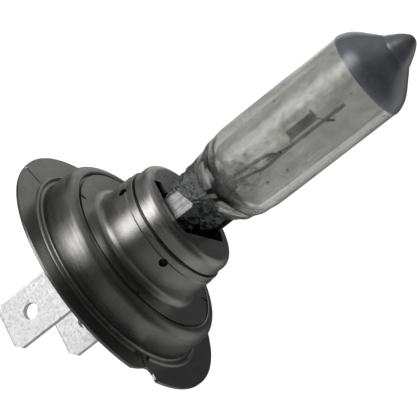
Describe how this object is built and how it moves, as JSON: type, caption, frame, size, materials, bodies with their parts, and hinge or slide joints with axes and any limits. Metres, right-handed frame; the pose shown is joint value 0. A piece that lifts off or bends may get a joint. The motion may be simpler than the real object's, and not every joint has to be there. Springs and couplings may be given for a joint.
{
  "type": "headlight bulb",
  "caption": "Halogen headlight lamp: clear quartz tube with dark dome, axial filament, stepped steel prefocus flange cap and flat contact blades.",
  "frame": {"origin": "on the lamp axis, in the plane of the flange's front face", "axes": "+Z along the lamp axis from the flange to the exhaust tip, out of the lamp holder; the key notch in the flange rim is 47 degrees from +X towards -Y, and the contact blades' broad faces look along 65 and 245 degrees from +X"},
  "size_m": [0.034, 0.034, 0.0604],
  "materials": {
    "cap_steel": "drawn, satin, slightly warm grey",
    "weld_metal": "dark laser weld metal",
    "clip_steel": "bright spring steel",
    "quartz": "clear fused quartz, smoky",
    "dark_coating": "satin graphite grey",
    "tungsten": "dark drawn tungsten",
    "molybdenum": "dull grey wire",
    "tinned_brass": "matt tin plate, finely speckled",
    "steatite": "unglazed pale ceramic"
  },
  "bodies": {
    "root": {"flange_ring": "cap_steel", "focus_sleeve": "cap_steel", "sleeve_weld_spots": "weld_metal", "flange_weld_spots": "weld_metal", "burner_cup": "cap_steel", "burner_clip": "clip_steel", "quartz_envelope": "quartz", "dome_coating": "dark_coating", "quartz_bridge": "quartz", "filament_coil": "tungsten", "lower_leg_sleeve": "molybdenum", "upper_leg_sleeve": "molybdenum", "short_support_lead": "molybdenum", "long_support_lead": "molybdenum", "front_foil": "molybdenum", "rear_foil": "molybdenum", "front_outer_lead": "molybdenum", "rear_outer_lead": "molybdenum", "front_blade": "tinned_brass", "rear_blade": "tinned_brass", "ceramic_base": "steatite", "base_shell": "cap_steel"}
  },
  "joints": []
}
